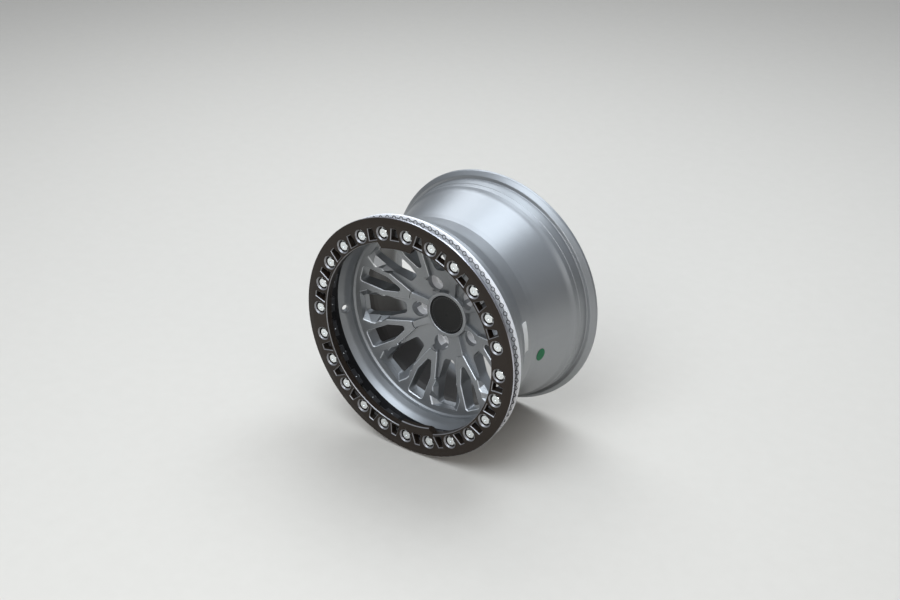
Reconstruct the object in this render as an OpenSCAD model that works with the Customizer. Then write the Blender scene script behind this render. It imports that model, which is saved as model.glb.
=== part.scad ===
// Beadlock wheel: a one-piece casting with eight loop spokes, and a bolted
// clamp ring on its front face.
// Local Z is the wheel's axle with the front towards +Z. The last turn brings
// the axle onto Y, with the front towards -Y. Depths are counted backwards
// from the clamp ring's front face.

/* [Display] */
// Subcomponent to show

/* [Overall] */
// Width from the clamp ring's face to the rear rim edge
overall_width = 276; // [268:1:300]
// Turn of the wheel about its axle
spin = 6.33; // [0:0.01:15]
// Radius of the rear rim flange
rear_flange_r = 236.2; // [234.5:0.1:238]
// Radius of the front flange disc behind the clamp ring
front_flange_r = 230.8; // [229:0.1:234]
// Radius of the shoulder that carries the tyre bead in front
shoulder_r = 217.5; // [217:0.1:219]

/* [Clamp ring] */
// Outer radius of the clamp ring
ring_outer_r = 233.1; // [231:0.1:236]
// Inner radius of the clamp ring
ring_inner_r = 187; // [184:0.5:188.5]
// Thickness of the clamp ring at its bolts
ring_t = 14; // [12.5:0.5:16]
// Thickness of the thin outer lip of the clamp ring
ring_lip_t = 5; // [4:0.5:7]
// Radius where the thick part of the clamp ring ends
ring_step_r = 216.5; // [216:0.1:217]
// Chamfer on the inner front edge of the clamp ring
ring_chamfer = 1.3; // [1:0.1:2]
// Radius of the inner edge of a ring window
window_in_r = 192.4; // [191.5:0.1:195]
// Radius of the outer edge of a ring window
window_out_r = 213.6; // [211:0.1:214.5]
// Width of a ring window at its inner edge
window_in_w = 18; // [14:0.1:20]
// Width of a ring window at its outer edge
window_out_w = 9.6; // [7:0.1:13]
// Chamfer round a ring window
window_chamfer = 1.2; // [0.5:0.1:2]
// Radius of the inner edge of the two tabs
tab_r = 174.5; // [170:0.5:180]
// Half angle of a tab at its inner edge
tab_half_angle = 9.8; // [7:0.1:13]

/* [Ring bolts] */
// Number of bolts in the clamp ring
bolt_count = 24; // [20:4:24]
// Radius of the bolt circle
bolt_circle_r = 203.8; // [203:0.1:205]
// Radius of a bolt's shank
shank_r = 4; // [3:0.1:4.6]
// Width of a bolt's hexagon across the flats
head_flats = 15.4; // [13:0.1:16.5]
// Height of a bolt's head
head_h = 4.4; // [3.5:0.1:6]
// Radius of the pocket round a bolt's head
pocket_r = 11; // [10.4:0.1:11.5]
// Depth of the pocket below the ring's face
pocket_depth = 9; // [8:0.1:10]
// Chamfer round a bolt pocket
pocket_chamfer = 2.4; // [1:0.1:3]
// Outer radius of a washer
washer_r = 9.8; // [9.5:0.1:10.1]
// Thickness of a washer
washer_t = 1.6; // [1:0.1:2.4]
// Depth of a bolt's tip behind the ring's face
tip_depth = 38; // [34:0.5:42]

/* [Spokes] */
// Number of loop spokes
spoke_count = 8; // [7:1:9]
// Rise of the spoke face for each millimetre outwards
face_slope = 0.236; // [0.2:0.002:0.25]
// Depth of the spoke face at the hub ring
face_depth = 121; // [118:0.5:124]
// Step from the spoke face down to the pads between the spokes
pad_step = 9; // [6:0.5:11]
// Thickness of the spokes at the barrel
spoke_t = 26; // [22:0.5:30]
// Half width of a spoke's stem
stem_half_w = 6.8; // [5.5:0.1:7.6]
// Half width of a loop window where it is widest
loop_window_half_w = 17.2; // [14:0.1:18]
// Radius of the outer end of the loop windows
loop_window_out_r = 180.6; // [176:0.1:182]
// Chamfer along the edges of the spoke face
edge_chamfer = 1.2; // [0.6:0.1:1.8]
// Radius of the inner end of the gap openings
gap_in_r = 90.4; // [89:0.1:94]

/* [Hub] */
// Radius of the centre bore
centre_bore_r = 35.75; // [33:0.05:37]
// Radius of the seat that holds the centre cap
cap_seat_r = 38.5; // [38.2:0.1:40]
// Outer radius of the hub ring round the cap
hub_ring_r = 45; // [43.5:0.1:45.5]
// Depth of the face that bolts to the vehicle
mount_depth = 169; // [163:0.5:175]
// Outer radius of the mounting pad
hub_pad_r = 82; // [80:0.5:84]
// Number of wheel nuts
lug_count = 5; // [5:1:6]
// Diameter of the wheel nut circle
lug_circle_d = 127; // [127:0.5:130]
// Radius of a wheel stud hole
lug_hole_r = 7.25; // [6.5:0.05:8]
// Radius of a wheel nut pocket
lug_pocket_r = 16; // [14.5:0.1:16]
// Radius of the valve hole
valve_hole_r = 5.75; // [5:0.05:6.5]

/* [Hidden] */

casting_colour = [0.36, 0.37, 0.38];
ring_colour = [0.20, 0.17, 0.15];
zinc_colour = [0.78, 0.80, 0.78];
cap_colour = [0.05, 0.05, 0.05];
label_colour = [0.92, 0.92, 0.90];
dot_colour = [0.18, 0.62, 0.36];

half_w = overall_width / 2;
over = 1;
round_fn = 72;
small_fn = 32;
profile_n = 5;
bolt_pitch = 360 / bolt_count;
spoke_pitch = 360 / spoke_count;
fit_gap = 0.3;
plate_depth = ring_t;
flange_depth = plate_depth + 9;
plate_back = plate_depth + 16;
ridge_depth = 54;
bead_r = shoulder_r - 0.5;
rear_bead_r = rear_flange_r - 17.6;
waist_r = 189.8;
waist_depth = 131;
barrel_wall = 7.3;
plate_in_r = 193;
lip_r = 205;
notch_in_half_w = 10.5;
notch_out_half_w = 9;
notch_out_r = bolt_circle_r + 3.7;
label_depth = 92;
label_w = 18;
label_t = 0.5;
label_angle = 6.7;
label_half_angle = 8.5;
dot_angle = -10.4;
dot_depth = 153;
dot_half_w = 9.5;
dot_half_l = 13;
dot_t = 0.4;
far_r = 300;
ring_flat_r = 221.5;
valve_line_r = 198.5;
valve_line_depth = 65;
valve_tilt = 118.4;
valve_l = 50;
cap_depth = 125;
cap_t = 3;
cap_lip_w = 1.6;
cap_h = 15;
cap_seat_depth = cap_depth + cap_h;
stem_drop = 1.3;
loop_foot_r = 80.4;
groove_w = 0.9;
groove_d = 1.1;
web_out_r = 190;
pad_out_r = 140;
lug_floor_depth = mount_depth - 19;
lug_seat_r = 12.4;
lug_seat_h = 9;
loop_centre = spin + spoke_pitch / 2;
valve_angle = spin + 180;

// Depth of the spoke face at radius r
function face_at(r) = face_depth - face_slope * (r - hub_ring_r);

// Depth well in front of the spokes, where cuts into them start
clear_depth = face_at(web_out_r) - 20;

// A [radius, depth] pair as [radius, height]
function rz(p) = [p[0], half_w - p[1]];

// Polar to plane coordinates, with the angle counted from +Y
function at(r, a) = [r * sin(a), r * cos(a)];

// A point beside a loop's centre line, seen from the next gap's centre line
function from_gap(p) = at(norm(p), spoke_pitch / 2 - atan2(p[0], p[1]));

// Mirror the half outline pts to a full closed outline
function mirrored(pts) = concat(pts, [for (i = [len(pts) - 1:-1:0]) [-pts[i][0], pts[i][1]]]);

// Corner i of the outline pts rounded by radius r, as n + 1 points
function corner(pts, i, r, n) =
    let (
        c = pts[i],
        a = pts[(i + len(pts) - 1) % len(pts)] - c,
        b = pts[(i + 1) % len(pts)] - c,
        ua = a / norm(a),
        ub = b / norm(b),
        half = acos(max(-1, min(1, ua * ub))) / 2,
        m = (ua + ub) / norm(ua + ub),
        o = c + m * r / sin(half),
        t1 = c + ua * r / tan(half) - o,
        t2 = c + ub * r / tan(half) - o,
        a1 = atan2(t1[1], t1[0]),
        sweep = atan2(t1[0] * t2[1] - t1[1] * t2[0], t1 * t2)
    )
    [for (k = [0:n]) o + r * [cos(a1 + sweep * k / n), sin(a1 + sweep * k / n)]];

// The outline pts with each corner rounded by its radius in rs
function rounded(pts, rs, n = 4) =
    [for (i = [0:len(pts) - 1]) each corner(pts, i, rs[i], n)];

// Unit vector along v
function unit(v) = v / norm(v);

// Sum of the list v
function total(v, i = 0) = i == len(v) ? 0 : v[i] + total(v, i + 1);

// Twice the area inside the outline pts, negative where it winds clockwise
function winding(pts) =
    let (n = len(pts))
    total([for (i = [0:n - 1]) pts[i][0] * pts[(i + 1) % n][1] - pts[(i + 1) % n][0] * pts[i][1]]);

// The outline pts with every side moved outwards by g
function grown(pts, g) =
    let (n = len(pts), way = sign(winding(pts)))
    [for (i = [0:n - 1])
        let (
            ua = unit(pts[(i + n - 1) % n] - pts[i]),
            ub = unit(pts[(i + 1) % n] - pts[i]),
            na = way * [-ua[1], ua[0]],
            nb = way * [ub[1], -ub[0]]
        )
        pts[i] + (na + nb) * g / (1 + na * nb)
    ];

// Radius for corner i that leaves room on both of its sides, at most r
function fitting(pts, i, r) =
    let (
        a = pts[(i + len(pts) - 1) % len(pts)] - pts[i],
        b = pts[(i + 1) % len(pts)] - pts[i],
        half = acos(max(-1, min(1, unit(a) * unit(b)))) / 2
    )
    min(r, 0.49 * min(norm(a), norm(b)) * tan(half));

// Points of [radius, depth, corner radius] rows, where a corner radius of 0 or
// none keeps a corner sharp
function smooth(rows) =
    let (pts = [for (p = rows) [p[0], p[1]]])
    [for (i = [0:len(pts) - 1])
        let (r = rows[i][2])
        each is_undef(r) || r == 0 ? [pts[i]] : corner(pts, i, fitting(pts, i, r), profile_n)
    ];

// Turned body from such rows
module turned(rows) {
    rotate_extrude($fn = round_fn) {
        polygon([for (p = smooth(rows)) rz(p)]);
    }
}

// Thin turned layer outside the open line of rows, gap away from it
module skin(rows, gap, thick) {
    last = len(rows) - 1;
    open = [for (i = [0:last])
        [rows[i][0] + gap, rows[i][1], i == 0 || i == last ? 0 : rows[i][2]]
    ];
    inner = smooth(open);
    outer = [for (i = [len(inner) - 1:-1:0]) inner[i] + [thick, 0]];
    rotate_extrude($fn = round_fn) {
        polygon([for (p = concat(inner, outer)) rz(p)]);
    }
}

// Straight cut between two depths through the outline pts, whose Y axis points
// outwards at angle a
module cut_at(pts, a, d0, d1) {
    translate([0, 0, half_w - d1]) {
        rotate([0, 0, a - 90]) {
            linear_extrude(height = d1 - d0) {
                polygon(pts);
            }
        }
    }
}

// Cylinder along the axle at radius r and angle a, between two depths
module bore_at(r, a, rad, d0, d1) {
    rotate([0, 0, a]) {
        translate([r, 0, half_w - d1]) {
            cylinder(h = d1 - d0, r = rad, $fn = small_fn);
        }
    }
}

// Loft between two outlines of equal length, upper over lower, with [x, y, z]
// corners, turned to angle a
module loft_at(upper, lower, a) {
    n = len(upper);
    mid_u = [0, upper[0][1] / 2 + upper[n / 2][1] / 2, upper[0][2]];
    mid_l = [0, lower[0][1] / 2 + lower[n / 2][1] / 2, lower[0][2]];
    rotate([0, 0, a - 90]) {
        polyhedron(
            points = concat(upper, lower, [mid_u, mid_l]),
            faces = concat(
                [for (i = [0:n - 1]) [i, n + i, (i + 1) % n]],
                [for (i = [0:n - 1]) [(i + 1) % n, n + i, n + (i + 1) % n]],
                [for (i = [0:n - 1]) [i, (i + 1) % n, 2 * n]],
                [for (i = [0:n - 1]) [n + (i + 1) % n, n + i, 2 * n + 1]]
            )
        );
    }
}

// Outer line of the barrel from the bead ridge to the waist
front_line = [[213, 57.5, 2.5], [202, 79, 14], [191.6, 99, 22], [waist_r, waist_depth]];

// Outer line of the barrel from the waist to the rear bead seat
rear_rise = rear_bead_r - waist_r;
rear_line = [
    [waist_r, waist_depth], [waist_r + 1.8, waist_depth + 12, 40],
    [waist_r + rear_rise * 0.458, overall_width - 83, 200],
    [waist_r + rear_rise * 0.736, overall_width - 51, 26]
];

// Front half of the barrel with its lip, groove and ridge
module front_barrel() {
    turned(concat(
        [[bead_r, plate_back + 1], [bead_r, ridge_depth, 1.5]],
        front_line,
        [
            [waist_r - barrel_wall, waist_depth], [waist_r - barrel_wall, 113], [184, 90],
            [189.4, 86.7, 0.8], [192, 84], [192.2, 76.5, 0.8], [197.4, 64, 30],
            [lip_r, 53, 1.2], [lip_r, plate_back + 1]
        ]
    ));
}

// Rear half of the barrel up to the rim flange
module rear_barrel() {
    turned(concat(
        rear_line,
        [
            [rear_bead_r - 2.1, overall_width - 43, 6], [rear_bead_r - 1.2, overall_width - 35.4],
            [rear_bead_r - 0.9, overall_width - 33.6], [rear_bead_r, overall_width - 33, 1],
            [rear_bead_r + 1.9, overall_width - 14.2, 2.4],
            [rear_flange_r - 8.9, overall_width - 13.2, 5],
            [rear_flange_r - 1.2, overall_width - 5.6, 5],
            [rear_flange_r, overall_width - 0.6, 1.4],
            [rear_flange_r - 3.2, overall_width, 1.2], [rear_flange_r - 9.5, overall_width - 5.8, 6],
            [rear_flange_r - 20, overall_width - 8.2, 8], [rear_bead_r - 8, overall_width - 34, 20],
            [rear_line[3][0] - 8, rear_line[3][1] + 1, 60],
            [rear_line[2][0] - 7.5, rear_line[2][1], 200],
            [rear_line[1][0] - barrel_wall, rear_line[1][1], 40], [waist_r - barrel_wall, waist_depth]
        ]
    ));
}

// Plate behind the clamp ring, with its shoulder and the flange disc
module front_flange() {
    turned([
        [plate_in_r, plate_depth], [shoulder_r, plate_depth], [shoulder_r, flange_depth],
        [front_flange_r - 3.3, flange_depth], [front_flange_r, flange_depth + 1.6],
        [front_flange_r, flange_depth + 7, 1.4], [bead_r, flange_depth + 9, 3],
        [bead_r, plate_back + 8], [lip_r, plate_back + 8], [lip_r, plate_back],
        [plate_in_r, plate_back]
    ]);
}

// Spokes and hub before the cuts
module web() {
    turned([
        [centre_bore_r, cap_seat_depth], [cap_seat_r, cap_seat_depth],
        [cap_seat_r, face_depth + 2.1], [cap_seat_r + 0.6, face_depth + 1.5],
        [hub_ring_r - 0.9, face_depth + 1.5], [hub_ring_r, face_depth + 2.4],
        [loop_foot_r, face_at(loop_foot_r) + stem_drop],
        [loop_foot_r, face_at(loop_foot_r) + stem_drop + groove_d],
        [loop_foot_r + groove_w, face_at(loop_foot_r) + stem_drop + groove_d],
        [loop_foot_r + groove_w, face_at(loop_foot_r + groove_w)],
        [web_out_r, face_at(web_out_r)], [web_out_r, face_at(web_out_r) + spoke_t],
        [183, face_at(183) + spoke_t - 1.5], [hub_pad_r + 3, mount_depth - 18],
        [hub_pad_r, mount_depth], [centre_bore_r, mount_depth]
    ]);
}

// Right half of the outline of a loop, seen along its own centre line
loop_side = [[26.1, 128.4], [28.5, 162.5]];

// Where a loop's side meets its foot, and a point just inwards of its bend
loop_foot = [9, loop_foot_r + 1.6];
loop_bend = loop_side[0] + (loop_foot - loop_side[0]) * 0.015;

// Right half of the outline of a gap at the face, from the barrel inwards
gap_mid = from_gap((loop_side[0] + loop_side[1]) / 2);
gap_turn = from_gap(loop_side[0]);
gap_face = [
    at(181, spoke_pitch / 2 - 13.1), from_gap(loop_side[1]), gap_mid,
    gap_turn + (gap_turn - gap_mid) * 0.15
];

// Right half of the outline of a gap's pad, from its outer end inwards
gap_pad = [
    from_gap(loop_bend), from_gap(loop_foot),
    from_gap([stem_half_w, loop_foot_r - 1.6]), from_gap([stem_half_w, hub_ring_r - 3])
];

// Right half of the opening that goes right through a gap
gap_edge = gap_turn - [3.5, 0];
gap_open = [
    [gap_edge[0] - 4.4, 178], [gap_edge[0] - 0.4, 171.5], gap_edge, [gap_edge[0] - 7.2, 103.5],
    [gap_edge[0] - 10.6, gap_in_r]
];

// Lower end of the slanted sides of a gap
gap_low = [
    [gap_open[0][0] + 0.6, 178.6], [gap_open[1][0] + 0.6, 171.5],
    [gap_edge[0], gap_mid[1]], [gap_edge[0], gap_face[3][1]]
];

// The outline pts as [x, y, z] corners that lie drop below the spoke face, or
// below the stems where stems is 1 and the corner lies inwards of the loops
function edge_line(pts, drop, stems) =
    [for (p = pts)
        let (step = stems == 1 && norm(p) < loop_foot_r + 0.5 ? stem_drop : 0)
        [p[0], p[1], half_w - face_at(norm(p)) - drop - step]
    ];

// Everything removed between two loops
module gap_cut(a) {
    upper = [for (p = mirrored(gap_face)) [p[0], p[1], half_w - face_at(norm(p))]];
    lower = [for (p = mirrored(gap_low)) [p[0], p[1], half_w - face_at(norm(p)) - pad_step]];
    slant = (upper - lower) * 0.4;
    loft_at(upper + slant, lower - slant, a);
    cut_at(
        rounded(mirrored(gap_open), [4, 6, 40, 60, 7.5, 7.5, 60, 40, 6, 4]),
        a, clear_depth, mount_depth + over
    );
}

// Pads between the stems: the space above them, from the hub ring outwards
module pad_cuts() {
    intersection() {
        union() {
            for (i = [0:spoke_count - 1]) {
                cut_at(mirrored(gap_pad), spin + i * spoke_pitch, clear_depth, mount_depth);
                loft_at(
                    edge_line(grown(mirrored(gap_pad), edge_chamfer + 1), -1, 1),
                    edge_line(grown(mirrored(gap_pad), -0.4), edge_chamfer + 0.4, 1),
                    spin + i * spoke_pitch
                );
            }
        }
        turned([
            [hub_ring_r, face_at(hub_ring_r) + pad_step], [hub_ring_r, clear_depth - pad_step],
            [pad_out_r, clear_depth - pad_step], [pad_out_r, face_at(pad_out_r) + pad_step]
        ]);
    }
}

// Window inside one loop, with a chamfer round its edge on the spoke face
module loop_window(a) {
    half = [
        [loop_window_half_w, loop_window_out_r], [loop_window_half_w - 1.6, 131.6], [4, 101.6]
    ];
    sides = mirrored(half);
    corners = [5, 12, 5, 5, 12, 5];
    cut_at(rounded(sides, corners, 3), a, clear_depth, mount_depth);
    wide = grown(sides, edge_chamfer + 1);
    wide_corners = [for (c = corners) c + edge_chamfer + 1];
    narrow = grown(sides, -0.4);
    narrow_corners = [for (c = corners) c - 0.4];
    loft_at(
        edge_line(rounded(wide, wide_corners, 3), -1, 0),
        edge_line(rounded(narrow, narrow_corners, 3), edge_chamfer + 0.4, 0),
        a
    );
}

// Notch in the plate between two bolt bosses
module boss_notch(a) {
    cut_at(
        rounded(mirrored([
            [notch_out_half_w, notch_out_r], [notch_in_half_w, plate_in_r - 3]
        ]), [5, 0.5, 0.5, 5]),
        a, plate_depth - over, plate_back + 3
    );
}

// Pocket, seat and hole for one wheel nut
module lug_cut(a) {
    r = lug_circle_d / 2;
    bore_at(r, a, lug_pocket_r, clear_depth, lug_floor_depth);
    bore_at(r, a, lug_hole_r, lug_floor_depth - over, mount_depth + over);
    rotate([0, 0, a]) {
        translate([r, 0, half_w - lug_floor_depth - lug_seat_h]) {
            cylinder(h = lug_seat_h + 0.01, r1 = lug_hole_r, r2 = lug_seat_r, $fn = small_fn);
        }
    }
}

// Slanted valve hole with its round spot face
module valve_cut() {
    rotate([0, 0, valve_angle]) {
        translate([valve_line_r, 0, half_w - valve_line_depth]) {
            rotate([0, valve_tilt, 0]) {
                translate([0, 0, -valve_l / 2]) {
                    cylinder(h = valve_l, r = valve_hole_r, $fn = small_fn);
                }
                translate([0, 0, -valve_l / 2]) {
                    cylinder(h = valve_l / 2 + over, r = valve_hole_r + 4.25, $fn = small_fn);
                }
            }
        }
    }
}

module wheel() {
    color(casting_colour) {
        difference() {
            union() {
                front_flange();
                front_barrel();
                rear_barrel();
                web();
            }
            pad_cuts();
            for (i = [0:spoke_count - 1]) {
                gap_cut(spin + i * spoke_pitch);
                loop_window(loop_centre + i * spoke_pitch);
            }
            for (i = [0:bolt_count - 1]) {
                boss_notch(spin + i * bolt_pitch);
                bore_at(bolt_circle_r, spin + (i + 0.5) * bolt_pitch, shank_r + fit_gap,
                    plate_depth - over, tip_depth + 2);
            }
            for (i = [0:lug_count - 1]) {
                lug_cut(spin + 180 + i * 360 / lug_count);
            }
            valve_cut();
        }
    }
}

// One of the two tabs that reach inwards from the clamp ring
module ring_tab(a) {
    half_in = tab_r * tan(tab_half_angle);
    half_out = half_in + ring_inner_r + ring_chamfer - tab_r;
    intersection() {
        turned([
            [tab_r, 1.5], [tab_r + 1.5, 0], [ring_inner_r + ring_chamfer + 0.4, 0],
            [ring_inner_r + ring_chamfer + 0.4, ring_t], [tab_r + 4, ring_t], [tab_r, ring_t - 4]
        ]);
        cut_at(
            [[-half_out, ring_inner_r + ring_chamfer + 1], [-half_in, tab_r - 4],
                [half_in, tab_r - 4], [half_out, ring_inner_r + ring_chamfer + 1]],
            a, -over, ring_t + over
        );
    }
}

// Window in the clamp ring, with a chamfer round its front edge
module ring_window(a) {
    c = window_chamfer;
    half_i = window_in_w / 2;
    half_o = window_out_w / 2;
    rise = window_out_r - window_in_r;
    side = (half_i - half_o) / rise;
    grow = sqrt(1 + side * side) * 2 * c;
    inner = [[half_o, window_out_r], [half_i, window_in_r]];
    outer = [
        [half_o - side * 2 * c + grow, window_out_r + 2 * c],
        [half_i + side * 2 * c + grow, window_in_r - 2 * c]
    ];
    cut_at(rounded(mirrored(inner), [1.6, 1.6, 1.6, 1.6], 2), a, -over, ring_t + over);
    loft_at(
        [for (p = mirrored(outer)) [p[0], p[1], half_w + c]],
        [for (p = mirrored(inner)) [p[0], p[1], half_w - c]],
        a
    );
}

module beadlock_ring() {
    color(ring_colour) {
        difference() {
            union() {
                turned([
                    [ring_inner_r, ring_chamfer], [ring_inner_r + ring_chamfer, 0], [ring_flat_r, 0],
                    [ring_outer_r - 1, 1], [ring_outer_r, 2], [ring_outer_r, ring_lip_t],
                    [ring_step_r, ring_lip_t], [ring_step_r, ring_t], [ring_inner_r, ring_t]
                ]);
                ring_tab(spin + 90);
                ring_tab(spin + 270);
            }
            for (i = [0:bolt_count - 1]) {
                a = spin + (i + 0.5) * bolt_pitch;
                bore_at(bolt_circle_r, a, pocket_r, -over, pocket_depth);
                bore_at(bolt_circle_r, a, shank_r + 0.5, 0, ring_t + over);
                rotate([0, 0, a]) {
                    translate([bolt_circle_r, 0, half_w - pocket_chamfer]) {
                        cylinder(h = pocket_chamfer + over, r1 = pocket_r,
                            r2 = pocket_r + pocket_chamfer + over, $fn = small_fn);
                    }
                }
            }
            for (i = [0:bolt_count - 1]) {
                if (i != 0 && i != bolt_count / 2) {
                    ring_window(spin + i * bolt_pitch);
                }
            }
        }
    }
}

// One bolt with its head up, its head's seat at height 0
module bolt() {
    shank_l = tip_depth - pocket_depth + washer_t;
    difference() {
        intersection() {
            cylinder(h = head_h, r = head_flats / 2 / cos(30), $fn = 6);
            cylinder(h = head_h, r1 = head_flats / 2 + head_h * 1.6, r2 = head_flats / 2, $fn = small_fn);
        }
        translate([0, 0, head_h - 0.9]) {
            cylinder(h = 1, r = 2.5, $fn = small_fn);
        }
    }
    translate([0, 0, 1 - shank_l]) {
        cylinder(h = shank_l - 1 + 0.5, r = shank_r, $fn = small_fn);
    }
    translate([0, 0, -shank_l]) {
        cylinder(h = 1, r1 = shank_r - 1, r2 = shank_r, $fn = small_fn);
    }
}

module ring_bolts() {
    color(zinc_colour) {
        for (i = [0:bolt_count - 1]) {
            rotate([0, 0, spin + (i + 0.5) * bolt_pitch]) {
                translate([bolt_circle_r, 0, half_w - pocket_depth + washer_t]) {
                    bolt();
                }
            }
        }
    }
}

module ring_washers() {
    color(zinc_colour) {
        for (i = [0:bolt_count - 1]) {
            rotate([0, 0, spin + (i + 0.5) * bolt_pitch]) {
                translate([bolt_circle_r, 0, half_w - pocket_depth]) {
                    difference() {
                        cylinder(h = washer_t, r = washer_r, $fn = small_fn);
                        translate([0, 0, -over]) {
                            cylinder(h = washer_t + 2 * over, r = shank_r + fit_gap, $fn = small_fn);
                        }
                    }
                }
            }
        }
    }
}

module centre_cap() {
    rim_r = cap_seat_r - fit_gap;
    color(cap_colour) {
        turned([
            [0, cap_depth - 0.8], [rim_r - 10, cap_depth - 0.4], [rim_r - 1.8, cap_depth],
            [rim_r, cap_depth + 1.4], [rim_r, cap_seat_depth], [rim_r - cap_lip_w, cap_seat_depth],
            [rim_r - cap_lip_w - 1.4, cap_depth + cap_t], [0, cap_depth + cap_t]
        ]);
    }
}

module rim_label() {
    color(label_colour) {
        intersection() {
            skin(front_line, fit_gap, label_t);
            cut_at(
                [[0, 0], at(far_r, label_half_angle), at(far_r, -label_half_angle)],
                label_angle, label_depth, label_depth + label_w
            );
        }
    }
}

module inspection_dot() {
    color(dot_colour) {
        intersection() {
            skin(rear_line, fit_gap, dot_t);
            translate([0, 0, half_w - dot_depth]) {
                rotate([0, 90, dot_angle]) {
                    linear_extrude(height = far_r) {
                        polygon([for (k = [0:31]) [dot_half_w * cos(k * 11.25), dot_half_l * sin(k * 11.25)]]);
                    }
                }
            }
        }
    }
}

rotate([90, 0, 0]) {
    wheel();
    beadlock_ring();
    ring_bolts();
    ring_washers();
    centre_cap();
    rim_label();
    inspection_dot();
}
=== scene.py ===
# %% [markdown]
# # A beadlock wheel
# The object is an off-road wheel: one aluminium casting with eight loop-shaped
# spokes, and a dark clamp ring that 24 zinc bolts pull down on its front face.
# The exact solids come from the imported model. This lesson gives them their
# finishes, adds the machined detail that only shows close up, and lights the
# wheel for a picture.

import math
from functools import cached_property

import bmesh
import bpy
from mathutils import Matrix, Vector


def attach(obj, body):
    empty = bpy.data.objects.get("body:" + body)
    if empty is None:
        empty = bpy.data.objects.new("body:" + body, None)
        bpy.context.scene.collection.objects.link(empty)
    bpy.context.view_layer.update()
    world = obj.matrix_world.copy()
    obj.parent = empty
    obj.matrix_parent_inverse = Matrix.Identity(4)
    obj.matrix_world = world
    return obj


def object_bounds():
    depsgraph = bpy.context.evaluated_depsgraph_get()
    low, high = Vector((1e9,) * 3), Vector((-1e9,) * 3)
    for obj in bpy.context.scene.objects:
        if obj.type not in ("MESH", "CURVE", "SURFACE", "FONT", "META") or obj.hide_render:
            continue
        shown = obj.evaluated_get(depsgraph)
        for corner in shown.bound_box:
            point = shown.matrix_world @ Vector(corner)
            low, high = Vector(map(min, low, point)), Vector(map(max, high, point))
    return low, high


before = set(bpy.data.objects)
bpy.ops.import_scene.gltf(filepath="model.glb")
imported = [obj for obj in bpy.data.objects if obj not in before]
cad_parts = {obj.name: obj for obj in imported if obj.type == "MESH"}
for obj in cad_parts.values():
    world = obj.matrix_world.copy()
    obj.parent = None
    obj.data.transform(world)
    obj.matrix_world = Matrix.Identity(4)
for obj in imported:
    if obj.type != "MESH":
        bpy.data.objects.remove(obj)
cad_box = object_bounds()
MM = 0.001
print("nodes:", sorted(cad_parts))
print("box of the solids:", cad_box)

# %% [markdown]
# ## Camera
# The wheel's own circles fix the camera: its bolt circle, ring and rear rim
# are seen as ellipses, and only one place and one lens draw all of them right.
# Three axes, worked out from those ellipses, give the camera's turn.

# %% Camera
CAMERA_PLACE = Vector((1.40674, -1.91515, 1.23410))
CAMERA_LENS = 57.31
SENSOR_WIDTH = 36
camera_right = Vector((0.805488, 0.592611, 0.0))
camera_forward = Vector((-0.528189, 0.717892, -0.453484))
camera_up = camera_right.cross(camera_forward)


def add_camera():
    """Make the camera that sees the wheel as the photograph does."""
    data = bpy.data.cameras.new("wheel_camera")
    data.lens = CAMERA_LENS
    data.sensor_width = SENSOR_WIDTH
    data.sensor_fit = "HORIZONTAL"
    camera = bpy.data.objects.new("wheel_camera", data)
    turn = Matrix((camera_right, camera_up, -camera_forward)).transposed()
    camera.matrix_world = Matrix.Translation(CAMERA_PLACE) @ turn.to_4x4()
    bpy.context.scene.collection.objects.link(camera)
    bpy.context.scene.camera = camera


add_camera()
print("camera at", CAMERA_PLACE)

# %% [markdown]
# ## Measures of the wheel
# The finishes need to know where the machined faces lie. All of them sit on
# circles round the axle, so a radius and a depth behind the front face place
# each one. The axle is the Y axis, and the front looks along -Y. The whole
# wheel stands turned round the axle by SPIN.

# %% Measures
front_y = -138 * MM
FLANGE_FACE_DEPTH = 23 * MM
BOLT_COUNT = 24
SPIN = math.radians(6.33)
print("front face at y =", front_y)

# %% [markdown]
# ## Nodes of a finish
# A procedural finish is a small graph of nodes that ends in one shader. Wired
# by hand, each node takes several lines, so these helpers add and link a node
# in one call. Noise reads the object's own coordinates, and so the pattern
# keeps its place on the piece.


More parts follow.
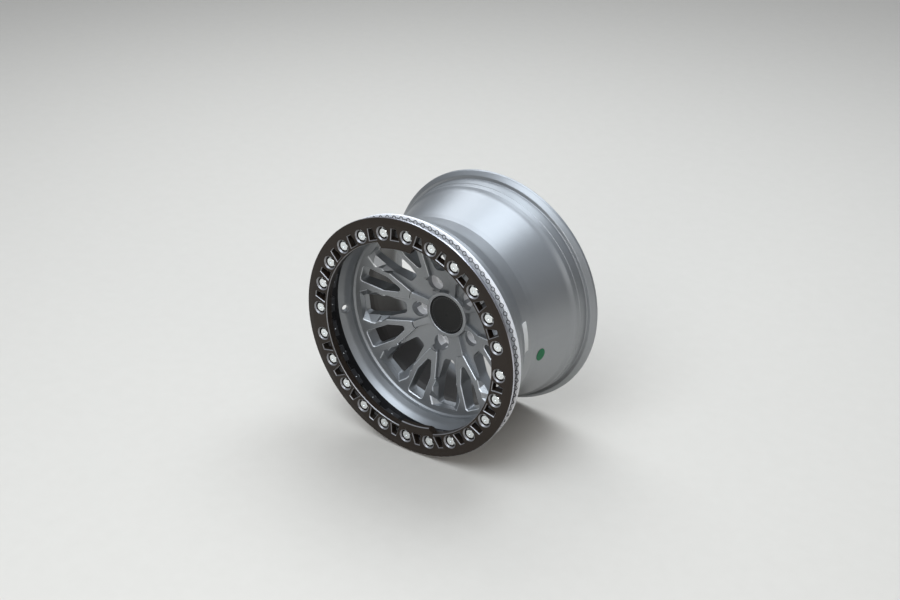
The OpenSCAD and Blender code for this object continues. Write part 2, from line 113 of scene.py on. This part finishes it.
# %% Nodes of a finish
class Nodes:
    """A material's nodes, with one short call for each kind used here."""

    def __init__(self, name):
        self.material = bpy.data.materials.new(name)
        self.material.use_nodes = True
        self.nodes = self.material.node_tree.nodes
        self.links = self.material.node_tree.links
        self.shader = self.nodes["Principled BSDF"]

    def wire(self, value, socket):
        """Link a socket's output, or set a plain value."""
        if isinstance(value, bpy.types.NodeSocket):
            self.links.new(value, socket)
        else:
            socket.default_value = value

    def set(self, **values):
        """Set or link the shader's sockets by name."""
        for name, value in values.items():
            self.wire(value, self.shader.inputs[name.replace("_", " ")])

    def split(self, vector):
        """X, Y and Z of a vector."""
        node = self.nodes.new("ShaderNodeSeparateXYZ")
        self.links.new(vector, node.inputs[0])
        return node.outputs

    def math(self, operation, *values):
        """One Math node."""
        node = self.nodes.new("ShaderNodeMath")
        node.operation = operation
        for value, socket in zip(values, node.inputs):
            self.wire(value, socket)
        return node.outputs[0]

    def mix(self, factor, first, second):
        """Two colours mixed by factor."""
        node = self.nodes.new("ShaderNodeMix")
        node.data_type = "RGBA"
        self.wire(factor, node.inputs[0])
        self.wire(first, node.inputs[6])
        self.wire(second, node.inputs[7])
        return node.outputs[2]

    def blend(self, factor, first, second):
        """Two numbers mixed by factor."""
        node = self.nodes.new("ShaderNodeMix")
        self.wire(factor, node.inputs[0])
        self.wire(first, node.inputs[2])
        self.wire(second, node.inputs[3])
        return node.outputs[0]

    @cached_property
    def place(self):
        """The object's own coordinates."""
        return self.nodes.new("ShaderNodeTexCoord").outputs["Object"]

    def noise(self, scale, detail=3, rough=0.6):
        """Noise on the object's own coordinates."""
        node = self.nodes.new("ShaderNodeTexNoise")
        node.inputs["Scale"].default_value = scale
        node.inputs["Detail"].default_value = detail
        node.inputs["Roughness"].default_value = rough
        self.links.new(self.place, node.inputs["Vector"])
        return node.outputs["Fac"]

    def bump(self, height, strength, distance=0.2 * MM):
        """A Bump node on the shader's normal."""
        node = self.nodes.new("ShaderNodeBump")
        node.inputs["Strength"].default_value = strength
        node.inputs["Distance"].default_value = distance
        self.links.new(height, node.inputs["Height"])
        self.links.new(node.outputs[0], self.shader.inputs["Normal"])


print("nodes ready")

# %% [markdown]
# ## Masks
# Most finishes here mix two looks by a mask, which is 1 inside one part of the
# surface and 0 outside. It is made from a measured value, such as the radius,
# with a soft step at each end of the wanted stretch.


# %% Masks
class Masks(Nodes):
    """Masks made from measured values."""

    def ramp(self, value, start, end):
        """0 at start and 1 at end, smooth between them."""
        node = self.nodes.new("ShaderNodeMapRange")
        node.interpolation_type = "SMOOTHSTEP"
        flipped = end < start
        self.wire(value, node.inputs["Value"])
        node.inputs["From Min"].default_value = end if flipped else start
        node.inputs["From Max"].default_value = start if flipped else end
        node.inputs["To Min"].default_value = 1 if flipped else 0
        node.inputs["To Max"].default_value = 0 if flipped else 1
        return node.outputs["Result"]

    def above(self, value, edge, soft):
        """1 where value lies above the edge."""
        return self.ramp(value, edge - soft, edge + soft)

    def below(self, value, edge, soft):
        """1 where value lies below the edge."""
        return self.ramp(value, edge + soft, edge - soft)

    def both(self, first, *others):
        """A mask of what lies inside all the masks."""
        for other in others:
            first = self.math("MULTIPLY", first, other)
        return first

    def band(self, value, low, high, soft):
        """1 where value lies between low and high."""
        return self.both(self.above(value, low, soft), self.below(value, high, soft))


print("masks ready")

# %% [markdown]
# ## Where a point lies
# The wheel is round, so the masks measure each point by its distance from the
# axle, its angle round it and its depth behind the front face. The direction
# that the surface faces tells a chamfer from a wall. A measure is made once,
# when a finish first asks for it.


# %% Where a point lies
class Graph(Masks):
    """A finish that knows where each point lies and which way it faces."""

    @cached_property
    def axes(self):
        """X, Y and Z of the place."""
        return self.split(self.place)

    @cached_property
    def normal(self):
        """X, Y and Z of the direction that the surface faces."""
        return self.split(self.nodes.new("ShaderNodeNewGeometry").outputs["True Normal"])

    @cached_property
    def radius(self):
        """Distance from the axle."""
        x, y, z = self.axes
        return self.math("SQRT", self.math("ADD", self.math("MULTIPLY", x, x), self.math("MULTIPLY", z, z)))

    @cached_property
    def angle(self):
        """Angle round the axle."""
        x, y, z = self.axes
        return self.math("ARCTAN2", z, x)

    @cached_property
    def depth(self):
        """Depth behind the front face."""
        return self.math("SUBTRACT", self.axes[1], front_y)

    @cached_property
    def facing(self):
        """1 where the surface faces along the axle, and 0 where it faces across it."""
        return self.math("ABSOLUTE", self.normal[1])

    @cached_property
    def outward(self):
        """Above 0 where the surface faces away from the axle, and below 0 where it faces the axle."""
        across = self.math("MULTIPLY", self.normal[0], self.axes[0])
        up = self.math("MULTIPLY", self.normal[2], self.axes[2])
        return self.math("ADD", across, up)


print("measures ready")

# %% [markdown]
# ## Finish: gunmetal casting
# The casting is coated in a satin gunmetal grey with fine metal flake, so it
# takes its light and dark from what stands round it. Four parts of it are
# painted differently, and a mask of radius, depth and direction finds each of them:
#
# - The inside of the barrel behind the spokes is painted much darker, a painted
#   shade that lightens again towards the rear rim.
# - The inside of the front plate is painted dark as well, a painted shade that
#   is darkest in the notches between the bolt bosses.
# - The chamfers along the spoke faces are painted lighter than the faces, a
#   painted highlight. They are the surfaces just under the sloping spoke face
#   that lean at 45 degrees.
# - The wheel nuts' seats, with the lower wall of their pockets, are cut bare.
# - The wheel nuts' seats, with the lower wall of their pockets, are cut bare.
#
# The spoke face is a cone. At a radius of 45 mm it lies 121 mm deep, and it
# comes forward by FACE_SLOPE for each unit of radius.


# %% Casting masks
BARREL_IN_R = 181.6 * MM
BARREL_DARK_DEPTH = 106 * MM
BARREL_FADE_DEPTH = 238.5 * MM
BARREL_FADE = 33.5 * MM
PLATE_FRONT_DEPTH = 13.5 * MM
PLATE_BACK_DEPTH = 53.5 * MM
NOTCH_END_R = 211 * MM
BOSS_R = 193 * MM
SPOKE_END_R = 185.5 * MM
FACE_SLOPE = 0.236
FACE_START = 121 * MM + FACE_SLOPE * 45 * MM
EDGE_DEPTH = 1.6 * MM
POCKETS_IN_R = 48 * MM
POCKETS_OUT_R = 79 * MM
POCKET_WALL_DEPTH = 135 * MM
SEAT_END_DEPTH = 159.8 * MM


def faces_axle(g):
    """1 where the surface faces the axle."""
    return g.below(g.outward, -0.05, 0.03)


def barrel_painted_shade(g):
    """Painted shade on the wall behind the spokes that faces the axle, fading towards the rear rim."""
    wall = g.both(g.above(g.radius, BARREL_IN_R, 0.4 * MM), g.above(g.depth, BARREL_DARK_DEPTH, 6 * MM))
    return g.both(wall, faces_axle(g), g.below(g.depth, BARREL_FADE_DEPTH, BARREL_FADE))


def plate_painted_shade(g):
    """Painted shade on the inner side of the front plate with its bosses and notches."""
    plate = g.band(g.depth, PLATE_FRONT_DEPTH, PLATE_BACK_DEPTH, 0.4 * MM)
    return g.both(faces_axle(g), plate, g.below(g.radius, NOTCH_END_R, 0.5 * MM))


def spoke_edge_highlight(g):
    """Chamfers just under the sloping spoke face, where the highlight is painted."""
    slope = g.math("ADD", g.depth, g.math("MULTIPLY", g.radius, FACE_SLOPE))
    under_face = g.math("SUBTRACT", slope, FACE_START)
    near_face = g.band(under_face, -0.4 * MM, EDGE_DEPTH, 0.2 * MM)
    return g.both(g.band(g.facing, 0.55, 0.86, 0.04), g.below(g.radius, SPOKE_END_R, 0.5 * MM), near_face)


def nut_seats(g):
    """Seats of the wheel nuts and the lower wall of their pockets."""
    low_wall = g.band(g.depth, POCKET_WALL_DEPTH, SEAT_END_DEPTH, 0.4 * MM)
    return g.both(g.band(g.radius, POCKETS_IN_R, POCKETS_OUT_R, 0.1 * MM), low_wall)


print("notches end at radius", NOTCH_END_R)


# %% Casting finish
def casting_finish():
    """Satin flake coat, with painted shade inside the barrel and plate, a painted highlight on the spoke
    chamfers, and bare nut seats.
    """
    g = Graph("gunmetal_casting")
    cloud = g.noise(9)
    flake = g.noise(1900, 2, 0.7)
    coat = g.mix(cloud, (0.310, 0.320, 0.332, 1), (0.345, 0.355, 0.367, 1))
    coat = g.mix(g.ramp(flake, 0.60, 0.72), coat, (0.48, 0.49, 0.51, 1))
    # Painted shade: the inside of the barrel is mixed to near black.
    coat = g.mix(barrel_painted_shade(g), coat, (0.045, 0.042, 0.040, 1))
    # Painted shade: the plate's inside is mixed dark grey, and near black in the notches between the
    # bosses.
    notch = g.above(g.radius, BOSS_R + 0.9 * MM, 0.5 * MM)
    shade = g.mix(notch, (0.085, 0.085, 0.090, 1), (0.024, 0.023, 0.024, 1))
    coat = g.mix(plate_painted_shade(g), coat, shade)
    # Painted highlight: the spoke chamfers are mixed 0.9 of the way to near white.
    edge = spoke_edge_highlight(g)
    coat = g.mix(g.math("MULTIPLY", edge, 0.9), coat, (0.88, 0.90, 0.92, 1))
    seat = nut_seats(g)
    g.set(
        Base_Color=g.mix(seat, coat, (0.98, 0.98, 0.99, 1)),
        Metallic=g.blend(seat, g.blend(edge, 0.8, 0.5), 0.2),
        Roughness=g.blend(cloud, 0.38, 0.45),
    )
    g.bump(flake, 0.12)
    return g.material


CASTING = casting_finish()
print("made", CASTING.name)

# %% [markdown]
# ## Finish: clamp ring
# The ring is coated black-brown. Its pockets, its windows and its inner edge
# are chamfered, and the coated chamfers are mixed partly to bare metal, a
# painted glint that draws thin bright lines round them. A chamfer is the only
# surface near the front face that leans at 45 degrees, so the surface's
# direction, with the depth, finds it. The outer edge of the ring has a bare
# line too, which is a band of depth at the largest radius.

# %% Ring finish
CHAMFER_DEPTH = 2.6 * MM
RING_FLAT_R = 219.5 * MM
RING_EDGE_R = 232.75 * MM
RING_LINE_START = 1.6 * MM
RING_LINE_END = 5.2 * MM


def ring_finish():
    """Dark coat with a painted glint of bare metal on the chamfers, and a bare line round the outer edge.
    """
    g = Graph("clamp_ring_coat")
    # Painted glint: the 45-degree chamfers near the front face get bare metal mixed 0.6 into the coat.
    leaning = g.band(g.facing, 0.55, 0.85, 0.03)
    chamfer_glint = g.both(leaning, g.band(g.depth, 0.05 * MM, CHAMFER_DEPTH, 0.1 * MM))
    chamfer_glint = g.both(chamfer_glint, g.below(g.radius, RING_FLAT_R, 0.5 * MM))
    edge_line = g.band(g.depth, RING_LINE_START, RING_LINE_END, 0.1 * MM)
    rim = g.both(g.above(g.radius, RING_EDGE_R, 0.15 * MM), edge_line)
    cloud = g.noise(14)
    coat = g.mix(cloud, (0.018, 0.012, 0.008, 1), (0.026, 0.018, 0.013, 1))
    metal = g.mix(rim, (0.50, 0.50, 0.52, 1), (0.60, 0.60, 0.66, 1))
    bare_rim_and_glint = g.math("MAXIMUM", g.math("MULTIPLY", chamfer_glint, 0.6), rim)
    g.set(
        Base_Color=g.mix(bare_rim_and_glint, coat, metal),
        Metallic=bare_rim_and_glint,
        Specular_IOR_Level=0.28,
        Roughness=g.blend(bare_rim_and_glint, g.blend(cloud, 0.36, 0.44), 0.26),
    )
    g.bump(g.noise(3200, 2), 0.08)
    return g.material


RING = ring_finish()
print("made", RING.name)

# %% [markdown]
# ## Finish: zinc
# Zinc plating is a bright, slightly blue-green metal that is never quite even,
# so two tints and two degrees of polish are mixed by a fine noise. The washers'
# tint is a shade darker, painted shade for the less light that reaches them
# between the bolt heads and the ring.


# %% Zinc finish
def zinc_finish(name, tint):
    """Bright plating that runs from the tint to near white."""
    g = Graph(name)
    cloud = g.noise(300)
    g.set(
        Base_Color=g.mix(cloud, tint, (0.97, 0.98, 0.98, 1)),
        Metallic=0.9,
        Roughness=g.blend(cloud, 0.18, 0.30),
    )
    g.bump(g.noise(4000, 2), 0.12)
    return g.material


ZINC = zinc_finish("zinc_bolts", (0.74, 0.79, 0.80, 1))
# Painted shade: the washers' tint is darker than the bolts', for the light lost between the heads and the
# ring.
SHADED_WASHER_ZINC = zinc_finish("zinc_washers_painted_shade", (0.60, 0.65, 0.65, 1))
print("made", ZINC.name, "and", SHADED_WASHER_ZINC.name)

# %% [markdown]
# ## Finish: black cap
# The cap is satin black plastic with a faint row of ticks round its edge. The
# ticks are too flat to model, so the angle round the axle is cut into equal
# steps, and a thin part of each step is mixed a little lighter.

# %% Cap finish
TICK_COUNT = 48
TICK_IN_R = 32.5 * MM
TICK_OUT_R = 34.5 * MM


def cap_finish():
    """Satin black with faint ticks."""
    g = Graph("black_cap")
    cloud = g.noise(40)
    turn = g.math("FRACT", g.math("DIVIDE", g.angle, 2 * math.pi / TICK_COUNT))
    off_middle = g.math("ABSOLUTE", g.math("SUBTRACT", turn, 0.5))
    tick = g.both(g.below(off_middle, 0.10, 0.02), g.band(g.radius, TICK_IN_R, TICK_OUT_R, 0.1 * MM))
    black = g.mix(cloud, (0.010, 0.010, 0.010, 1), (0.016, 0.016, 0.016, 1))
    g.set(
        Base_Color=g.mix(g.math("MULTIPLY", tick, 0.35), black, (0.35, 0.35, 0.36, 1)),
        Specular_IOR_Level=0.3,
        Roughness=g.blend(cloud, 0.34, 0.44),
    )
    g.bump(g.noise(3500, 2), 0.06)
    return g.material


CAP = cap_finish()
print("made", CAP.name)

# %% [markdown]
# ## Finishes: label and dot
# The bare white label is paper, and the dot on the barrel is a matt green ink.
# Both have a faint fibre, which one noise gives to the colour, the polish and
# the bump.


# %% Label and dot finish
def paper_finish(name, light, dark, rough):
    """Matt layer with a faint fibre."""
    g = Graph(name)
    fibre = g.noise(900, 4, 0.65)
    g.set(Base_Color=g.mix(fibre, light, dark), Roughness=g.blend(fibre, rough, rough + 0.1))
    g.bump(fibre, 0.1)
    return g.material


LABEL = paper_finish("white_label", (0.95, 0.95, 0.94, 1), (0.90, 0.90, 0.89, 1), 0.5)
DOT = paper_finish("green_dot", (0.012, 0.22, 0.085, 1), (0.008, 0.17, 0.065, 1), 0.55)
print("made", LABEL.name, "and", DOT.name)

# %% [markdown]
# ## The solids and their finishes
# The shapes of the solids are right as they come, so they stay untouched. Each
# one only gets its finish, in the slots that it already has.


# %% Give the solids their finishes
def dress(node, material):
    """Put one finish in every material slot of a solid."""
    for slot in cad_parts[node].material_slots:
        slot.material = material


dress("wheel", CASTING)
dress("beadlock_ring", RING)
dress("ring_bolts", ZINC)
dress("ring_washers", SHADED_WASHER_ZINC)
dress("centre_cap", CAP)
dress("rim_label", LABEL)
dress("inspection_dot", DOT)
print("dressed", len(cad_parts), "nodes")

# %% [markdown]
# ## Helpers for new pieces
# A new piece starts as a bmesh. Its normals are turned outwards, its mesh goes
# into an object at the origin, and the piece rides on the wheel's only body.


# %% Helpers for new pieces
def add_piece(name, bm, material, sharp_degrees=None):
    """Make a piece from a bmesh, and shade it smooth up to an angle if one is given."""
    bmesh.ops.recalc_face_normals(bm, faces=bm.faces)
    mesh = bpy.data.meshes.new(name)
    bm.to_mesh(mesh)
    bm.free()
    if sharp_degrees:
        mesh.polygons.foreach_set("use_smooth", [True] * len(mesh.polygons))
        mesh.set_sharp_from_angle(angle=math.radians(sharp_degrees))
    mesh.materials.append(material)
    piece = bpy.data.objects.new(name, mesh)
    bpy.context.scene.collection.objects.link(piece)
    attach(piece, "root")
    print(name, "has", len(mesh.polygons), "faces")


def spun_ring(section, steps):
    """Spin a closed section of (radius, depth) points round the axle."""
    bm = bmesh.new()
    verts = [bm.verts.new((r, front_y + d, 0)) for r, d in section]
    edges = [bm.edges.new((a, b)) for a, b in zip(verts, verts[1:] + verts[:1])]
    bmesh.ops.spin(
        bm, geom=verts + edges, cent=(0, 0, 0), axis=(0, 1, 0), angle=2 * math.pi,
        steps=steps, use_merge=True, use_duplicate=False,
    )
    bmesh.ops.remove_doubles(bm, verts=bm.verts, dist=1e-6)
    return bm


print("helpers for pieces ready")

# %% [markdown]
# ## Machined flange face
# The disc behind the clamp ring is turned bare after the casting is coated. A
# lathe leaves fine grooves round the axle, so the face throws light outwards
# and inwards and looks white from most sides. It is built as a thin closed
# ring, spun from its own section, because this gives the bare metal a crisp
# edge and a finish of its own. It stands a hair in front of the casting.

# %% Turned metal
GROOVE_PITCH = 0.6 * MM


def turned_finish():
    """Bare metal with fine grooves round the axle."""
    g = Graph("turned_aluminium")
    groove = g.math("SINE", g.math("MULTIPLY", g.radius, 2 * math.pi / GROOVE_PITCH))
    cloud = g.noise(25)
    g.set(
        Base_Color=g.mix(cloud, (0.93, 0.93, 0.96, 1), (0.97, 0.97, 1.0, 1)),
        Metallic=0.2,
        Roughness=g.blend(cloud, 0.42, 0.50),
    )
    g.bump(groove, 0.06, 0.1 * MM)
    return g.material


TURNED = turned_finish()
print("made", TURNED.name)

# %% Flange face
DISC_IN_R = 217.62 * MM
DISC_FLAT_R = 227.52 * MM
DISC_OUT_R = 230.87 * MM
DISC_FACE = FLANGE_FACE_DEPTH - 0.07 * MM
DISC_CHAMFER_END = 24.55 * MM
DISC_BACK = 28.6 * MM
FACE_WALL = 0.37 * MM
EDGE_WALL = 0.47 * MM
CORNER_BACK = 0.35 * MM
CORNER_IN = 0.22 * MM
DISC_STEPS = 180
disc_front = [
    (DISC_IN_R, DISC_FACE), (DISC_FLAT_R, DISC_FACE),
    (DISC_OUT_R, DISC_CHAMFER_END), (DISC_OUT_R, DISC_BACK),
]
disc_inner = [
    (DISC_OUT_R - EDGE_WALL, DISC_BACK), (DISC_OUT_R - EDGE_WALL, DISC_CHAMFER_END + CORNER_BACK),
    (DISC_FLAT_R - CORNER_IN, DISC_FACE + FACE_WALL), (DISC_IN_R, DISC_FACE + FACE_WALL),
]
add_piece("turned_flange_face", spun_ring(disc_front + disc_inner, DISC_STEPS), TURNED, 20)

# %% [markdown]
# ## Row of links on the flange face
# A row of small hexagonal links, joined by short bars, is cut into the flange
# face, and dark coat fills the cut. Each link is a hexagon whose inset middle
# is taken out. One link with its bar is made flat, given its thickness, laid on
# the face and copied round the axle.


# %% Coat in the links
def coat_in_cut():
    """Dark grey coat with a fine speck."""
    g = Graph("coat_in_links")
    speck = g.noise(700)
    g.set(
        Base_Color=g.mix(speck, (0.045, 0.047, 0.055, 1), (0.075, 0.078, 0.088, 1)),
        Metallic=0.3,
        Roughness=g.blend(speck, 0.4, 0.55),
    )
    g.bump(speck, 0.15)
    return g.material


LINK_COAT = coat_in_cut()
print("made", LINK_COAT.name)

# %% Links
LINK_CIRCLE = 225.5 * MM
LINK_COUNT = 90
LINK_OUTER = 4.9 * MM
LINK_LINE = 1.3 * MM
LINK_T = 0.3 * MM
BAR_OVERLAP = 0.4 * MM
link_top = front_y + FLANGE_FACE_DEPTH - 0.16 * MM


def moved_verts(geom):
    """The vertices in what an operator returned."""
    return [item for item in geom if isinstance(item, bmesh.types.BMVert)]


def flat_link(bm):
    """One hexagonal link and the bar to the next one, flat at the origin."""
    circle = bmesh.ops.create_circle(bm, cap_ends=True, segments=6, radius=LINK_OUTER)
    hexagon = circle["verts"][0].link_faces[0]
    bmesh.ops.inset_region(
        bm, faces=[hexagon], thickness=LINK_LINE, use_boundary=True, use_even_offset=True,
    )
    bmesh.ops.delete(bm, geom=[hexagon], context="FACES")
    pitch = 2 * math.pi * LINK_CIRCLE / LINK_COUNT
    bar_length = pitch - 2 * LINK_OUTER + BAR_OVERLAP
    bar = bmesh.ops.create_grid(bm, x_segments=1, y_segments=1, size=0.5)["verts"]
    bmesh.ops.scale(bm, verts=bar, vec=(bar_length, LINK_LINE, 1))
    bmesh.ops.translate(bm, verts=bar, vec=(pitch / 2, 0, 0))


def add_links():
    """Give one link its thickness, lay it on the face and copy it round the axle."""
    bm = bmesh.new()
    flat_link(bm)
    grown = bmesh.ops.extrude_face_region(bm, geom=bm.faces[:])["geom"]
    bmesh.ops.translate(bm, verts=moved_verts(grown), vec=(0, 0, LINK_T))
    lay = Matrix(((0, 1, 0, LINK_CIRCLE), (0, 0, -1, link_top + LINK_T), (1, 0, 0, 0), (0, 0, 0, 1)))
    bmesh.ops.transform(bm, matrix=lay, verts=bm.verts)
    first = bm.verts[:] + bm.edges[:] + bm.faces[:]
    for k in range(1, LINK_COUNT):
        copy = bmesh.ops.duplicate(bm, geom=first)["geom"]
        turn = Matrix.Rotation(2 * math.pi * k / LINK_COUNT, 4, "Y")
        bmesh.ops.transform(bm, matrix=turn, verts=moved_verts(copy))
    add_piece("flange_links", bm, LINK_COAT)


add_links()

# %% [markdown]
# ## Pins in the bolt bosses
# A small bright dot shows on the inner side of each bolt boss, and is taken for
# the end of a pin. It is too small for the solids, so 24 flat domes are set
# round the plate here, each one a sphere pressed flat along the radius.

# %% Boss pins
PIN_R = 1.7 * MM
PIN_DEPTH = 23.5 * MM
PIN_SINK = 0.4 * MM
PIN_FLATNESS = 0.7


def add_pins():
    """Set one flat dome in the inner side of each bolt boss."""
    bm = bmesh.new()
    flat = Matrix.Diagonal((PIN_FLATNESS, 1, 1, 1))
    out = Matrix.Translation((BOSS_R + PIN_SINK, front_y + PIN_DEPTH, 0))
    for k in range(BOLT_COUNT):
        turn = Matrix.Rotation(-SPIN - 2 * math.pi * (k + 0.5) / BOLT_COUNT, 4, "Y")
        place = turn @ out @ flat
        bmesh.ops.create_uvsphere(bm, u_segments=12, v_segments=8, radius=PIN_R, matrix=place)
    add_piece("boss_pins", bm, ZINC, 60)


add_pins()

# %% [markdown]
# ## Floor
# The wheel stands on a plain pale floor. Seen by the camera and in the metal,
# the floor is pale. The light that it throws back on the wheel is that of
# darker ground, so the undersides of the wheel stay dark.

# %% Floor
FLOOR_HALF = 30
FLOOR_GAP = 0.2 * MM


def floor_finish():
    """Pale to the eye and in reflections, and darker for the light that it returns."""
    g = Graph("pale_floor")
    speck = g.noise(30)
    pale = g.mix(speck, (0.64, 0.60, 0.545, 1), (0.67, 0.63, 0.575, 1))
    path = g.nodes.new("ShaderNodeLightPath").outputs
    seen = g.math("MAXIMUM", path["Is Camera Ray"], path["Is Glossy Ray"])
    seen = g.math("MAXIMUM", seen, path["Is Transmission Ray"])
    g.set(Base_Color=g.mix(seen, (0.27, 0.245, 0.21, 1), pale), Roughness=0.9)
    return g.material


def add_floor(height):
    """One large square under the wheel."""
    bm = bmesh.new()
    bmesh.ops.create_grid(bm, x_segments=1, y_segments=1, size=FLOOR_HALF)
    bmesh.ops.translate(bm, verts=bm.verts, vec=(0, 0, height))
    mesh = bpy.data.meshes.new("floor")
    bm.to_mesh(mesh)
    bm.free()
    mesh.materials.append(floor_finish())
    floor = bpy.data.objects.new("floor", mesh)
    bpy.context.scene.collection.objects.link(floor)


add_floor(cad_box[0][2] - FLOOR_GAP)
print("floor at z =", cad_box[0][2] - FLOOR_GAP)

# %% [markdown]
# ## Light
# A satin metal shows what it reflects, so each lamp is placed for one surface.
# Two lamps behind the wheel draw the bright top of the barrel. The one overhead,
# a little in front, lights the lip between the ring and the spokes. Two weak
# ones from the right and the front reach the label and the nut pockets. A dim
# sky, brighter overhead, fills the rest.

# %% Lamps
SKY_BLUE = (0.84, 0.92, 1.0)
PALE_BLUE = (0.88, 0.94, 1.0)
WARM_WHITE = (1.0, 0.99, 0.97)


def add_lamp(name, place, size, power, colour):
    """A round area lamp that looks at the middle of the wheel."""
    data = bpy.data.lights.new(name, "AREA")
    data.shape = "DISK"
    data.size = size
    data.energy = power
    data.color = colour
    lamp = bpy.data.objects.new(name, data)
    lamp.location = place
    lamp.rotation_euler = (-Vector(place)).to_track_quat("-Z", "Y").to_euler()
    bpy.context.scene.collection.objects.link(lamp)


add_lamp("behind_above", (0.2, 1.3, 2.8), size=2.0, power=40, colour=SKY_BLUE)
add_lamp("behind_left", (-1.6, 1.3, 2.2), size=1.8, power=26, colour=PALE_BLUE)
add_lamp("overhead", (0.1, -1.6, 2.6), size=2.4, power=56, colour=SKY_BLUE)
add_lamp("right", (2.6, -0.7, 1.0), size=1.5, power=5, colour=WARM_WHITE)
add_lamp("front", (0.9, -3.0, 1.1), size=1.4, power=18, colour=WARM_WHITE)
print("lamps:", len(bpy.data.lights))

# %% Sky
SKY_STRENGTH = 0.45
HORIZON = (0.31, 0.30, 0.29, 1)
ZENITH = (0.86, 0.92, 1.0, 1)


def add_sky():
    """Bright overhead, dimmer towards the horizon."""
    world = bpy.data.worlds.new("even_sky")
    world.use_nodes = True
    nodes = world.node_tree.nodes
    links = world.node_tree.links
    place = nodes.new("ShaderNodeTexCoord")
    split = nodes.new("ShaderNodeSeparateXYZ")
    rise = nodes.new("ShaderNodeMapRange")
    rise.interpolation_type = "SMOOTHSTEP"
    rise.inputs["From Min"].default_value = 0.05
    rise.inputs["From Max"].default_value = 0.65
    tint = nodes.new("ShaderNodeMix")
    tint.data_type = "RGBA"
    tint.inputs[6].default_value = HORIZON
    tint.inputs[7].default_value = ZENITH
    links.new(place.outputs["Generated"], split.inputs[0])
    links.new(split.outputs[2], rise.inputs["Value"])
    links.new(rise.outputs["Result"], tint.inputs[0])
    links.new(tint.outputs[2], nodes["Background"].inputs["Color"])
    nodes["Background"].inputs["Strength"].default_value = SKY_STRENGTH
    bpy.context.scene.world = world


add_sky()
bpy.context.scene.view_settings.view_transform = "Standard"
print("sky ready")
